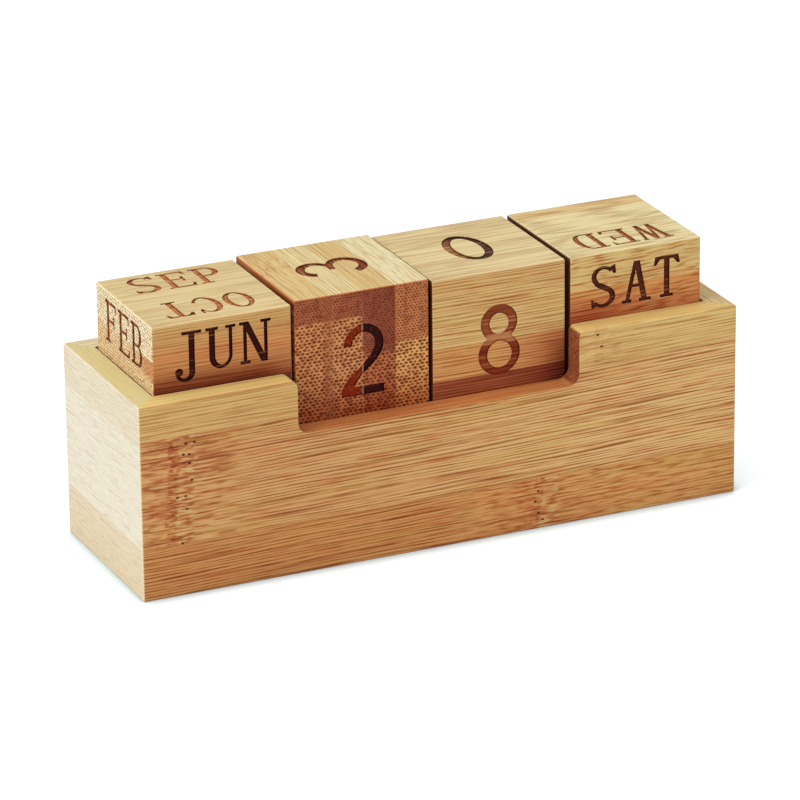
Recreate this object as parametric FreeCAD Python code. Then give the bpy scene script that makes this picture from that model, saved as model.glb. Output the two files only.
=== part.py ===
"""Perpetual desk calendar of laminated bamboo with a drawer in its right end.

Four engraved blocks stand in a row on a raised shelf inside a mitred case. The
space under the shelf holds a drawer that pulls out to the right.
Millimetres, +X along the row, -Y towards the reader, +Z up. The origin is the
middle of the underside.
"""
import FreeCAD, Part
import math
import os

V = FreeCAD.Vector

# --- Driving dimensions -------------------------------------------------------

# Date blocks and the room round them
BLOCK_SIZE = 36.0
TENS_WIDTH = 35.5
TENS_EXTRA_HEIGHT = 0.8
BLOCK_EASING = 0.45
GAP_BEFORE_MONTH = 0.5
GAP_MONTH_TENS = 0.8
GAP_TENS_UNITS = 0.85
GAP_UNITS_WEEKDAY = 1.3
GAP_AFTER_WEEKDAY = 1.05
GAP_FRONT = 0.2
GAP_BACK = 0.9

# Case boards, shelf and base
BOARD = 6.0
CASE_HEIGHT = 50.0
CASE_EASING = 0.5
SHELF_TOP = 31.2
SHELF_THICKNESS = 4.0
SHELF_GROOVE = 2.0
BASE_THICKNESS = 4.0
BASE_REBATE = 3.0
PANEL_EDGE_PLAY = 0.1

# Notch in the front board
NOTCH_LIP = 5.0
NOTCH_SIDE_MARGIN = 1.45
NOTCH_OFFSET = -0.65
NOTCH_LOWER_RADIUS = 3.0
NOTCH_UPPER_RADIUS = 1.6

# Drawer
WINDOW_HEAD = 1.2
DRAWER_SIDE_PLAY = 0.4
DRAWER_LIFT = 0.3
DRAWER_TOP_PLAY = 0.4
DRAWER_BACK_PLAY = 2.0
DRAWER_FRONT = 6.0
DRAWER_WALL = 4.0
DRAWER_WALL_DROP = 1.0
DRAWER_BOTTOM = 2.5
DRAWER_BOTTOM_RISE = 1.5
DRAWER_GROOVE = 1.5
DRAWER_EASING = 0.4
FINGER_HOLE = 12.0
FINGER_HOLE_EASING = 0.8

# Engraving: names of months and days, in capitals with slab serifs
ENGRAVING = 0.45
NAME_HEIGHT = 10.8
LETTER_WIDTH = 7.5
LETTER_GAP = 1.05
STEM = 1.6
HAIR = 0.95
SLAB = 0.85
SERIF_REACH = 0.85
BEAK = 2.3
MONTH_MARGIN = 2.3
MONTH_LOW_MARGIN = 3.8
DAY_MARGIN = 3.5

# Engraving: digits of the date, one even stroke
DIGIT_HEIGHT = 18.3
DIGIT_WIDTH = 11.3
DIGIT_STROKE = 2.3
TENS_FRONT_RISE = 0.5

# --- Sizes that follow --------------------------------------------------------

BLOCK_WIDTHS = [BLOCK_SIZE, TENS_WIDTH, BLOCK_SIZE, BLOCK_SIZE]
BLOCK_GAPS = [GAP_BEFORE_MONTH, GAP_MONTH_TENS, GAP_TENS_UNITS, GAP_UNITS_WEEKDAY]
INNER_LENGTH = sum(BLOCK_WIDTHS) + sum(BLOCK_GAPS) + GAP_AFTER_WEEKDAY
INNER_DEPTH = BLOCK_SIZE + GAP_FRONT + GAP_BACK
CASE_LENGTH = INNER_LENGTH + 2 * BOARD
CASE_DEPTH = INNER_DEPTH + 2 * BOARD
BLOCK_Y = GAP_FRONT / 2 - GAP_BACK / 2
SHELF_UNDERSIDE = SHELF_TOP - SHELF_THICKNESS
WINDOW_TOP = SHELF_UNDERSIDE - WINDOW_HEAD
PAST = 1.0  # how far a cutting solid runs past the face that it cuts


def block_left(place):
    """X of the left face of the block at this place in the row, from 0."""
    return -INNER_LENGTH / 2 + sum(BLOCK_WIDTHS[:place]) + sum(BLOCK_GAPS[: place + 1])


# --- Plain solids -------------------------------------------------------------


def box(x0, x1, y0, y1, z0, z1):
    return Part.makeBox(x1 - x0, y1 - y0, z1 - z0, V(x0, y0, z0))


def eased(solid, radius):
    """The solid with every edge rounded by radius."""
    return solid.makeFillet(radius, solid.Edges)


def upright(outline, z0, z1):
    """Prism over a closed outline of (x, y) points."""
    points = [V(x, y, z0) for x, y in outline]
    face = Part.Face(Part.makePolygon(points + points[:1]))
    return face.extrude(V(0, 0, z1 - z0))


# --- Engraved strokes ---------------------------------------------------------
# Each stroke is a prism that reaches from the bottom of the cut to above the
# face. Letters stand on y = 0 with their left side at x = 0.


def polygon(points):
    return upright(points, -ENGRAVING, PAST)


def bar(x0, x1, y0, y1):
    return polygon([(x0, y0), (x1, y0), (x1, y1), (x0, y1)])


def slant(foot, head, width, y0, y1):
    """Sloping stroke whose ends are level: foot and head are its middles."""
    half = width / 2
    return polygon([(foot - half, y0), (foot + half, y0), (head + half, y1), (head - half, y1)])


def oval(x0, x1, y0, y1):
    middle = V((x0 + x1) / 2, (y0 + y1) / 2, -ENGRAVING)
    half_width = (x1 - x0) / 2
    half_height = (y1 - y0) / 2
    if abs(half_width - half_height) < 0.001:
        edge = Part.Circle(middle, V(0, 0, 1), half_width).toShape()
    else:
        side = middle + V(half_width, 0, 0)
        top = middle + V(0, half_height, 0)
        major, minor = (side, top) if half_width > half_height else (top, side)
        edge = Part.Ellipse(major, minor, middle).toShape()
    return Part.Face(Part.Wire(edge)).extrude(V(0, 0, ENGRAVING + PAST))


def ring(x0, x1, y0, y1, left, right, top, bottom, start=0, end=360):
    """Oval stroke with its own width on each side, cut to a sector in degrees."""
    whole = oval(x0, x1, y0, y1).cut(oval(x0 + left, x1 - right, y0 + bottom, y1 - top))
    if end - start >= 360:
        return whole
    centre = ((x0 + x1) / 2, (y0 + y1) / 2)
    reach = 2 * max(x1 - x0, y1 - y0)
    steps = math.ceil((end - start) / 60)
    angles = [math.radians(start + (end - start) * step / steps) for step in range(steps + 1)]
    rim = [(centre[0] + reach * math.cos(a), centre[1] + reach * math.sin(a)) for a in angles]
    return whole.common(polygon([centre] + rim))


def ribbon(one_side, other_side):
    """Stroke between two smooth sides, each given from its upper end down."""
    sides = []
    for points in (one_side, other_side):
        curve = Part.BSplineCurve()
        curve.interpolate([V(x, y, -ENGRAVING) for x, y in points])
        sides.append(curve.toShape())
    first, second = sides
    top = Part.makeLine(second.Vertexes[0].Point, first.Vertexes[0].Point)
    foot = Part.makeLine(first.Vertexes[1].Point, second.Vertexes[1].Point)
    wire = Part.Wire(Part.__sortEdges__([first, foot, second, top]))
    return Part.Face(wire).extrude(V(0, 0, ENGRAVING + PAST))


# --- Letters ------------------------------------------------------------------
# Places within a letter are shares of its width w and height h.


def low_serif(x, width=STEM):
    return bar(x - width / 2 - SERIF_REACH, x + width / 2 + SERIF_REACH, 0, SLAB)


def high_serif(x, width=STEM):
    reach = width / 2 + SERIF_REACH
    return bar(x - reach, x + reach, NAME_HEIGHT - SLAB, NAME_HEIGHT)


def stem(x, width=STEM):
    """Upright with a serif at each end."""
    post = bar(x - width / 2, x + width / 2, 0, NAME_HEIGHT)
    return [post, low_serif(x, width), high_serif(x, width)]


def beak(x, y, down):
    """Wedge that hangs from, or stands on, the end of an arm; down is 1 or -1."""
    tip = y - down * BEAK
    return polygon([(x - SLAB * 1.6, y), (x, y), (x + SLAB * 0.3, tip), (x - SLAB * 0.4, tip)])


def bowl(x0, x1, y0, y1):
    """Round half stroke that leaves a stem at x0 and comes back to it."""
    middle = x0 + (x1 - x0) * 0.45
    half = x1 - middle
    curve = ring(middle - half, x1, y0, y1, STEM, STEM, SLAB, SLAB, -90, 90)
    return [curve, bar(x0, middle, y1 - SLAB, y1), bar(x0, middle, y0, y0 + SLAB)]


def letter_a(w, h):
    thin_leg = slant(0.17 * w, 0.5 * w, HAIR * 1.25, 0, h)
    thick_leg = slant(0.82 * w, 0.54 * w, STEM, 0, h)
    cross = bar(0.29 * w, 0.72 * w, 0.36 * h, 0.36 * h + SLAB)
    return [thin_leg, thick_leg, cross, low_serif(0.17 * w, HAIR), low_serif(0.83 * w)]


def letter_b(w, h):
    waist = 0.53 * h
    bowls = bowl(0.2 * w, 0.9 * w, waist - SLAB, h) + bowl(0.2 * w, 0.96 * w, 0, waist)
    return stem(0.2 * w) + bowls


def letter_c(w, h):
    curve = ring(0, 0.98 * w, 0, h, STEM, HAIR, HAIR, HAIR, 45, 322)
    tick = polygon([(0.83 * w, h), (0.91 * w, h), (0.93 * w, h - BEAK), (0.82 * w, h - BEAK)])
    return [curve, tick]


def letter_d(w, h):
    return stem(0.2 * w) + bowl(0.2 * w, 0.96 * w, 0, h)


def tongue(w, h):
    """Middle bar of an E or F, with an upright serif on its end."""
    end = 0.66 * w
    middle = 0.5 * h + SLAB / 2
    reach = 0.7 * BEAK
    cross = bar(0.2 * w, end, middle - SLAB / 2, middle + SLAB / 2)
    return [cross, bar(end, end + SLAB, middle - reach, middle + reach)]


def letter_e(w, h):
    arms = [bar(0.2 * w, 0.92 * w, h - SLAB, h), bar(0.2 * w, 0.96 * w, 0, SLAB)]
    beaks = [beak(0.92 * w, h, 1), beak(0.96 * w, 0, -1)]
    return stem(0.2 * w) + arms + tongue(w, h) + beaks


def letter_f(w, h):
    arm = bar(0.2 * w, 0.94 * w, h - SLAB, h)
    return stem(0.2 * w) + tongue(w, h) + [arm, beak(0.94 * w, h, 1)]


def letter_g(w, h):
    spur = bar(0.84 * w - STEM / 2, 0.84 * w + STEM / 2, 0.1 * h, 0.42 * h)
    shelf = bar(0.84 * w - STEM, 0.84 * w + STEM, 0.42 * h - SLAB, 0.42 * h)
    return letter_c(w, h) + [spur, shelf]


def letter_h(w, h):
    return stem(0.2 * w) + stem(0.8 * w) + [bar(0.2 * w, 0.8 * w, 0.5 * h, 0.5 * h + SLAB)]


def letter_i(w, h):
    return stem(0.5 * w)


def letter_j(w, h):
    x = 0.62 * w
    drop = 0.18 * h
    ball = 2.2 * HAIR
    turn = 0.2 * h
    post = bar(x - STEM / 2, x + STEM / 2, turn - drop, h)
    head = bar(x - 0.36 * w, x + 0.36 * w, h - SLAB, h)
    hook = ring(0.02 * w, x + STEM / 2, -drop, 2 * turn - drop, HAIR, STEM, HAIR, HAIR, 190, 360)
    return [post, head, hook, oval(0, ball, ball / 2 - drop * 0.75, ball * 1.5 - drop * 0.75)]


def letter_l(w, h):
    return stem(0.24 * w) + [bar(0.24 * w, 0.96 * w, 0, SLAB), beak(0.96 * w, 0, -1)]


def letter_m(w, h):
    thick = slant(0.5 * w, 0.16 * w, STEM, 0, h)
    thin = slant(0.5 * w, 0.84 * w, HAIR, 0, h)
    return stem(0.12 * w, HAIR) + stem(0.86 * w) + [thick, thin]


def letter_n(w, h):
    left = [bar(0.19 * w - HAIR / 2, 0.19 * w + HAIR / 2, 0, h), low_serif(0.19 * w, HAIR)]
    right = [bar(0.88 * w - HAIR / 2, 0.88 * w + HAIR / 2, 0, h), high_serif(0.88 * w, HAIR)]
    head = bar(0, 0.25 * w, h - SLAB, h)
    return left + right + [head, slant(0.88 * w - STEM * 0.2, 0.2 * w, STEM * 1.1, 0, h)]


def letter_o(w, h):
    return [ring(0, w, 0, h, STEM, STEM, HAIR, HAIR)]


def letter_p(w, h):
    return stem(0.22 * w) + bowl(0.22 * w, 0.96 * w, 0.44 * h, h)


def letter_r(w, h):
    leg = slant(0.84 * w, 0.46 * w, STEM, 0, 0.46 * h)
    foot = low_serif(0.86 * w, STEM * 0.7)
    return stem(0.2 * w) + bowl(0.2 * w, 0.92 * w, 0.44 * h, h) + [leg, foot]


def letter_s(w, h):
    upper = ring(0.02 * w, 0.86 * w, 0.5 * h, h, STEM * 0.9, HAIR, HAIR, HAIR, 26, 232)
    lower = ring(0.02 * w, 0.9 * w, 0, 0.5 * h, HAIR, STEM, HAIR, HAIR, -156, 52)
    spine_over = [(0.28 * w, 0.62 * h), (0.53 * w, 0.54 * h), (0.766 * w, 0.43 * h)]
    spine_under = [(0.13 * w, 0.56 * h), (0.35 * w, 0.45 * h), (0.6 * w, 0.37 * h)]
    beak_over = polygon(
        [(0.7 * w, 0.96 * h), (0.83 * w, h), (0.9 * w, h), (0.93 * w, h - BEAK), (0.82 * w, h - BEAK)]
    )
    beak_under = polygon([(0, BEAK), (0.08 * w, BEAK), (0.22 * w, 0.04 * h), (0.03 * w, 0)])
    return [upper, lower, ribbon(spine_over, spine_under), beak_over, beak_under]


def letter_t(w, h):
    post = [bar(0.5 * w - STEM / 2, 0.5 * w + STEM / 2, 0, h), low_serif(0.5 * w, STEM * 1.2)]
    arms = bar(0.06 * w, 0.94 * w, h - SLAB, h)
    left = polygon([(0.06 * w, h), (0.26 * w, h - SLAB), (0.1 * w, h - BEAK), (0, h - BEAK)])
    right = polygon([(0.94 * w, h), (w, h - BEAK), (0.9 * w, h - BEAK), (0.74 * w, h - SLAB)])
    return post + [arms, left, right]


def letter_u(w, h):
    left = 0.2 * w
    right = 0.84 * w
    turn = 0.3 * h
    thick = bar(left - STEM / 2, left + STEM / 2, turn, h)
    thin = bar(right - HAIR / 2, right + HAIR / 2, turn, h)
    base = ring(left - STEM / 2, right + HAIR / 2, 0, 2 * turn, STEM, HAIR, HAIR, HAIR, 180, 360)
    return [thick, thin, base, high_serif(left), high_serif(right, HAIR)]


def letter_v(w, h):
    thick = slant(0.5 * w, 0.2 * w, STEM, 0, h)
    thin = slant(0.5 * w, 0.82 * w, HAIR, 0, h)
    return [thick, thin, high_serif(0.2 * w), high_serif(0.82 * w, HAIR)]


def letter_w(w, h):
    strokes = [
        slant(0.3 * w, 0.12 * w, STEM * 0.9, 0, h),
        slant(0.3 * w, 0.5 * w, HAIR, 0, h),
        slant(0.7 * w, 0.52 * w, STEM * 0.9, 0, h),
        slant(0.7 * w, 0.9 * w, HAIR, 0, h),
    ]
    return strokes + [high_serif(0.12 * w, HAIR), high_serif(0.9 * w, 0)]


def letter_y(w, h):
    fork = 0.42 * h
    post = [bar(0.5 * w - STEM / 2, 0.5 * w + STEM / 2, 0, fork + STEM / 2), low_serif(0.5 * w)]
    arms = [slant(0.5 * w, 0.18 * w, STEM, fork, h), slant(0.54 * w, 0.84 * w, HAIR, fork, h)]
    return post + arms + [high_serif(0.18 * w), high_serif(0.84 * w, HAIR)]


LETTERS = {
    "A": (letter_a, 1.02),
    "B": (letter_b, 0.96),
    "C": (letter_c, 0.94),
    "D": (letter_d, 0.96),
    "E": (letter_e, 0.96),
    "F": (letter_f, 0.96),
    "G": (letter_g, 1.0),
    "H": (letter_h, 1.06),
    "I": (letter_i, 0.44),
    "J": (letter_j, 0.95),
    "L": (letter_l, 0.92),
    "M": (letter_m, 1.14),
    "N": (letter_n, 1.04),
    "O": (letter_o, 0.96),
    "P": (letter_p, 0.94),
    "R": (letter_r, 1.04),
    "S": (letter_s, 1.0),
    "T": (letter_t, 0.98),
    "U": (letter_u, 1.0),
    "V": (letter_v, 1.0),
    "W": (letter_w, 1.06),
    "Y": (letter_y, 1.0),
}


# --- Digits -------------------------------------------------------------------


def digit_0(w, h, k):
    return [ring(0, w, 0, h, k, k, k * 0.95, k * 0.95)]


def digit_1(w, h, k):
    post = bar(0.46 * w, 0.46 * w + k, 0, h)
    upper = [(0.46 * w + k, h), (0.46 * w, h), (0.16 * w, 0.84 * h)]
    lower = [(0.16 * w, 0.72 * h), (0.5 * w, 0.86 * h)]
    return [post, polygon(upper + lower)]


def digit_2(w, h, k):
    crown = ring(0.06 * w, w, 0.41 * h, h, k, k, k * 0.92, k, -46, 178)
    outer = [(0.9, 0.523), (0.8, 0.45), (0.57, 0.33), (0.4, 0.22), (0.3, 0.1)]
    inner = [(0.735, 0.593), (0.55, 0.46), (0.35, 0.35), (0.1, 0.21), (0, 0.04)]
    outer, inner = ([(x * w, y * h) for x, y in side] for side in (outer, inner))
    return [crown, ribbon(outer, inner), bar(0, w, 0, k)]


def digit_3(w, h, k):
    thin = 0.8 * k
    low, high = 0.51 * h - thin / 2, 0.51 * h + thin / 2
    upper = ring(0.05 * w, 0.94 * w, low, h, k, k, k, thin, -90, 164)
    lower = ring(0, w, 0, high, k, k, thin, k, -170, 90)
    return [upper, lower, bar(0.36 * w, 0.52 * w, low, high)]


def digit_4(w, h, k):
    post = bar(0.64 * w, 0.64 * w + k, 0, h)
    cross = bar(0, w, 0.24 * h, 0.24 * h + k)
    upper = [(0.64 * w + k, h), (0.62 * w, h), (0, 0.24 * h + k)]
    lower = [(0.2 * w, 0.24 * h + k), (0.64 * w, 0.86 * h)]
    return [post, cross, polygon(upper + lower)]


def digit_5(w, h, k):
    head = bar(0.16 * w, 0.92 * w, h - k, h)
    neck = slant(0.14 * w, 0.25 * w, k, 0.44 * h, h)
    belly = ring(0, w, 0, 0.62 * h, k, k, k, k, -160, 140)
    return [head, neck, belly]


def digit_6(w, h, k):
    belly = ring(0, w, 0, 0.6 * h, k, k, k, k)
    back = bar(0, k, 0.3 * h, h - w / 2)
    crown = ring(0, w, h - w, h, k, k, k, k, 35, 180)
    return [belly, back, crown]


def digit_7(w, h, k):
    return [bar(0, w, h - k, h), slant(0.28 * w, 0.9 * w, k * 1.1, 0, h)]


def digit_8(w, h, k):
    upper = ring(0.06 * w, 0.94 * w, 0.475 * h, h, k * 1.06, k * 1.06, k, k * 0.87)
    lower = ring(0, w, 0, 0.585 * h, k * 1.06, k, k * 0.87, k * 0.8)
    return [upper, lower]


DIGITS = {
    "0": digit_0,
    "1": digit_1,
    "2": digit_2,
    "3": digit_3,
    "4": digit_4,
    "5": digit_5,
    "6": digit_6,
    "7": digit_7,
    "8": digit_8,
}


def merged(strokes):
    first, *others = strokes
    return first.fuse(others).removeSplitter() if others else first


def name_solids(name):
    """Cutting solids of a three letter name, centred on the origin."""
    widths = [LETTERS[letter][1] * LETTER_WIDTH for letter in name]
    x = -(sum(widths) + LETTER_GAP * (len(name) - 1)) / 2
    solids = []
    for letter, width in zip(name, widths):
        solid = merged(LETTERS[letter][0](width, NAME_HEIGHT))
        solid.translate(V(x, -NAME_HEIGHT / 2, 0))
        solids.append(solid)
        x += width + LETTER_GAP
    return solids


def digit_solid(digit):
    """Cutting solid of one digit, centred on the origin."""
    solid = merged(DIGITS[digit](DIGIT_WIDTH, DIGIT_HEIGHT, DIGIT_STROKE))
    solid.translate(V(-DIGIT_WIDTH / 2, -DIGIT_HEIGHT / 2, 0))
    return solid


# --- Date blocks --------------------------------------------------------------

# Reader's right, reader's up and outward direction of each face of a block
FACES = {
    "front": (V(1, 0, 0), V(0, 0, 1), V(0, -1, 0)),
    "back": (V(-1, 0, 0), V(0, 0, 1), V(0, 1, 0)),
    "left": (V(0, -1, 0), V(0, 0, 1), V(-1, 0, 0)),
    "right": (V(0, 1, 0), V(0, 0, 1), V(1, 0, 0)),
    "top": (V(1, 0, 0), V(0, 1, 0), V(0, 0, 1)),
    "bottom": (V(1, 0, 0), V(0, -1, 0), V(0, 0, -1)),
}

# Face, name, turn in degrees and distance of the capitals from the block's edge
MONTHS = [
    ("front", "JUN", 0, MONTH_MARGIN),
    ("front", "MAY", 180, MONTH_MARGIN),
    ("top", "SEP", 0, MONTH_MARGIN),
    ("top", "OCT", 180, MONTH_LOW_MARGIN),
    ("left", "FEB", 0, MONTH_MARGIN),
    ("left", "JAN", 180, MONTH_MARGIN),
    ("right", "MAR", 0, MONTH_MARGIN),
    ("right", "APR", 180, MONTH_MARGIN),
    ("back", "JUL", 0, MONTH_MARGIN),
    ("back", "AUG", 180, MONTH_MARGIN),
    ("bottom", "NOV", 0, MONTH_MARGIN),
    ("bottom", "DEC", 180, MONTH_MARGIN),
]
WEEKDAYS = [
    ("front", "SAT", 0, DAY_MARGIN),
    ("front", "FRI", 180, DAY_MARGIN),
    ("top", "WED", 180, DAY_MARGIN),
    ("back", "SUN", 0, DAY_MARGIN),
    ("back", "MON", 180, DAY_MARGIN),
    ("left", "TUE", 0, DAY_MARGIN),
    ("right", "THU", 0, DAY_MARGIN),
]

# Face, digit, turn in degrees and rise above the middle of the face
TENS = [
    ("front", "2", 0, TENS_FRONT_RISE),
    ("top", "3", 90, 0),
    ("back", "0", 0, 0),
    ("left", "1", 0, 0),
    ("right", "4", 0, 0),
    ("bottom", "5", 0, 0),
]
UNITS = [
    ("front", "8", 0, 0),
    ("top", "0", 0, 0),
    ("back", "6", 0, 0),
    ("left", "1", 0, 0),
    ("right", "2", 0, 0),
    ("bottom", "7", 0, 0),
]


def onto_face(solid, face, size, turn, rise=0.0):
    """Copy of a cutting solid, on a face of a block centred on the origin."""
    right, up, outward = FACES[face]
    middle = outward * abs(outward.dot(size) / 2)
    placed = solid.copy()
    placed.translate(V(0, rise, 0))
    placed.rotate(V(0, 0, 0), V(0, 0, 1), turn)
    seat = FreeCAD.Placement(middle, FreeCAD.Rotation(right, up, outward, "ZXY"))
    placed.Placement = seat * placed.Placement
    return placed


def name_cutters(rows, size):
    cutters = []
    for face, name, turn, margin in rows:
        rise = BLOCK_SIZE / 2 - margin - NAME_HEIGHT / 2
        cutters += [onto_face(solid, face, size, turn, rise) for solid in name_solids(name)]
    return cutters


def digit_cutters(rows, size):
    return [
        onto_face(digit_solid(digit), face, size, turn, rise) for face, digit, turn, rise in rows
    ]


def block(place, cutters, size):
    """Engraved block standing on the shelf at its place in the row."""
    half = size / 2
    blank = eased(box(-half.x, half.x, -half.y, half.y, -half.z, half.z), BLOCK_EASING)
    engraved = blank.cut(cutters)
    engraved.translate(V(block_left(place) + half.x, BLOCK_Y, SHELF_TOP + half.z))
    return engraved


CUBE = V(BLOCK_SIZE, BLOCK_SIZE, BLOCK_SIZE)
TENS_SIZE = V(TENS_WIDTH, BLOCK_SIZE, BLOCK_SIZE + TENS_EXTRA_HEIGHT)


def month_block():
    return block(0, name_cutters(MONTHS, CUBE), CUBE)


def tens_block():
    return block(1, digit_cutters(TENS, TENS_SIZE), TENS_SIZE)


def units_block():
    return block(2, digit_cutters(UNITS, CUBE), CUBE)


def weekday_block():
    return block(3, name_cutters(WEEKDAYS, CUBE), CUBE)


# --- Case ---------------------------------------------------------------------


def inside(grow, z0, z1):
    """Box over the inside of the case, grown sideways into the boards."""
    half_length = INNER_LENGTH / 2 + grow
    half_depth = INNER_DEPTH / 2 + grow
    return box(-half_length, half_length, -half_depth, half_depth, z0, z1)


def board_ring():
    """The four boards before they part at the mitres, with groove and rebate."""
    half_length = CASE_LENGTH / 2
    half_depth = CASE_DEPTH / 2
    blank = box(-half_length, half_length, -half_depth, half_depth, 0, CASE_HEIGHT)
    outer = eased(blank, CASE_EASING)
    hollow = inside(0, -PAST, CASE_HEIGHT + PAST)
    groove = inside(SHELF_GROOVE, SHELF_UNDERSIDE, SHELF_TOP)
    rebate = inside(BASE_REBATE, -PAST, BASE_THICKNESS)
    return outer.cut([hollow, groove, rebate])


def long_board(side):
    """Front board for side -1, back board for side 1, mitred at both ends."""
    half_length = CASE_LENGTH / 2
    half_depth = CASE_DEPTH / 2
    ridge = half_length - half_depth
    corner = half_length + PAST
    edge = side * (half_depth + PAST)
    outline = [(-corner, edge), (corner, edge), (ridge, 0), (-ridge, 0)]
    wedge = upright(outline, -PAST, CASE_HEIGHT + PAST)
    return board_ring().common(wedge)


def end_board(side):
    """Left end board for side -1, right end board for side 1."""
    half_length = CASE_LENGTH / 2
    half_depth = CASE_DEPTH / 2
    corner = side * (half_length + PAST)
    edge = half_depth + PAST
    tip = side * (half_length - half_depth)
    wedge = upright([(corner, -edge), (corner, edge), (tip, 0)], -PAST, CASE_HEIGHT + PAST)
    return board_ring().common(wedge)


def lies_on(edge, z, sides):
    """Whether the edge runs front to back at height z, at one of these x."""
    point = edge.CenterOfMass
    near = [x for x in sides if abs(point.x - x) < PAST / 2]
    return bool(near) and abs(point.z - z) < PAST / 2


def front_board():
    """Front board with the notch that shows the date, its corners rounded."""
    board = long_board(-1)
    middle = (block_left(1) + block_left(2) + BLOCK_SIZE) / 2 + NOTCH_OFFSET
    half_width = (block_left(2) + BLOCK_SIZE - block_left(1)) / 2 + NOTCH_SIDE_MARGIN
    floor = SHELF_TOP + NOTCH_LIP
    front = -CASE_DEPTH / 2 - PAST
    back = -INNER_DEPTH / 2 + PAST
    left, right = middle - half_width, middle + half_width
    notch = box(left, right, front, back, floor, CASE_HEIGHT + PAST)
    floor_ends = [edge for edge in notch.Edges if lies_on(edge, floor, (left, right))]
    notch = notch.makeFillet(NOTCH_LOWER_RADIUS, floor_ends)
    board = board.cut(notch)
    for side in (-1, 1):
        x = middle + side * half_width
        board = board.cut(mouth_round(x, side, front, back))
    return board


def mouth_round(x, side, front, back):
    """What rounds the notch's upper corner at x over to the top of the board."""
    radius = NOTCH_UPPER_RADIUS
    x0, x1 = sorted((x - side * PAST, x + side * radius))
    corner = box(x0, x1, front, back, CASE_HEIGHT - radius, CASE_HEIGHT + PAST)
    axis_x = x + side * radius
    start = V(axis_x, front, CASE_HEIGHT - radius)
    return corner.cut(Part.makeCylinder(radius, back - front, start, V(0, 1, 0)))


def back_board():
    return long_board(1)


def left_end_board():
    return end_board(-1)


def right_end_board():
    """End board with the window that the drawer passes through."""
    half_depth = INNER_DEPTH / 2
    x0 = INNER_LENGTH / 2 - PAST
    x1 = CASE_LENGTH / 2 + PAST
    return end_board(1).cut(box(x0, x1, -half_depth, half_depth, BASE_THICKNESS, WINDOW_TOP))


def block_shelf():
    """Panel under the blocks, let into a groove round all four boards."""
    return inside(SHELF_GROOVE - PANEL_EDGE_PLAY, SHELF_UNDERSIDE, SHELF_TOP)


def base_panel():
    """Bottom panel in the boards' rebate, flush underneath; the drawer runs on it."""
    return inside(BASE_REBATE - PANEL_EDGE_PLAY, 0, BASE_THICKNESS)


# --- Drawer -------------------------------------------------------------------

DRAWER_HALF_WIDTH = INNER_DEPTH / 2 - DRAWER_SIDE_PLAY
DRAWER_UNDERSIDE = BASE_THICKNESS + DRAWER_LIFT
DRAWER_FRONT_TOP = WINDOW_TOP - DRAWER_TOP_PLAY
DRAWER_WALL_TOP = DRAWER_FRONT_TOP - DRAWER_WALL_DROP
DRAWER_BACK_X = -INNER_LENGTH / 2 + DRAWER_BACK_PLAY
DRAWER_FACE_X = CASE_LENGTH / 2
DRAWER_JOINT_X = DRAWER_FACE_X - DRAWER_FRONT


def bottom_panel_room(play):
    """Box that the drawer's bottom panel fills, less play at its edges."""
    grow = DRAWER_GROOVE - play
    x0 = DRAWER_BACK_X + DRAWER_WALL - grow
    half_width = DRAWER_HALF_WIDTH - DRAWER_WALL + grow
    z0 = DRAWER_UNDERSIDE + DRAWER_BOTTOM_RISE
    return box(x0, DRAWER_JOINT_X + grow, -half_width, half_width, z0, z0 + DRAWER_BOTTOM)


def drawer_front():
    """Flush front with a round finger hole, eased on every edge."""
    half = DRAWER_HALF_WIDTH
    blank = box(DRAWER_JOINT_X, DRAWER_FACE_X, -half, half, DRAWER_UNDERSIDE, DRAWER_FRONT_TOP)
    blank = eased(blank, DRAWER_EASING)
    middle_z = (DRAWER_UNDERSIDE + DRAWER_FRONT_TOP) / 2
    hole = Part.makeCylinder(FINGER_HOLE / 2, DRAWER_FRONT + 2 * PAST,
                             V(DRAWER_JOINT_X - PAST, 0, middle_z), V(1, 0, 0))
    blank = blank.cut(hole)
    rims = [e for e in blank.Edges if abs(e.Length - math.pi * FINGER_HOLE) < 0.01]
    return blank.makeFillet(FINGER_HOLE_EASING, rims).cut(bottom_panel_room(0))


def drawer_side(side):
    """Left side for side -1, right side for side 1, as seen facing the drawer."""
    outer = side * DRAWER_HALF_WIDTH
    inner = side * (DRAWER_HALF_WIDTH - DRAWER_WALL)
    y0, y1 = sorted((outer, inner))
    wall = box(DRAWER_BACK_X, DRAWER_JOINT_X, y0, y1, DRAWER_UNDERSIDE, DRAWER_WALL_TOP)
    return wall.cut(bottom_panel_room(0))


def drawer_left_side():
    return drawer_side(-1)


def drawer_right_side():
    return drawer_side(1)


def drawer_back():
    half = DRAWER_HALF_WIDTH - DRAWER_WALL
    inside = DRAWER_BACK_X + DRAWER_WALL
    wall = box(DRAWER_BACK_X, inside, -half, half, DRAWER_UNDERSIDE, DRAWER_WALL_TOP)
    return wall.cut(bottom_panel_room(0))


def drawer_bottom():
    return bottom_panel_room(PANEL_EDGE_PLAY)


# --- Parts --------------------------------------------------------------------

NODES = [
    front_board,
    back_board,
    left_end_board,
    right_end_board,
    block_shelf,
    base_panel,
    drawer_front,
    drawer_left_side,
    drawer_right_side,
    drawer_back,
    drawer_bottom,
    month_block,
    tens_block,
    units_block,
    weekday_block,
]

os.makedirs("parts", exist_ok=True)
for node in NODES:
    shape = node()
    print(node.__name__, len(shape.Solids), "solid, valid:", shape.isValid())
    shape.exportStep(os.path.join("parts", node.__name__ + ".step"))
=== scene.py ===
import math

import bpy
from mathutils import Matrix, Vector


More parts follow.
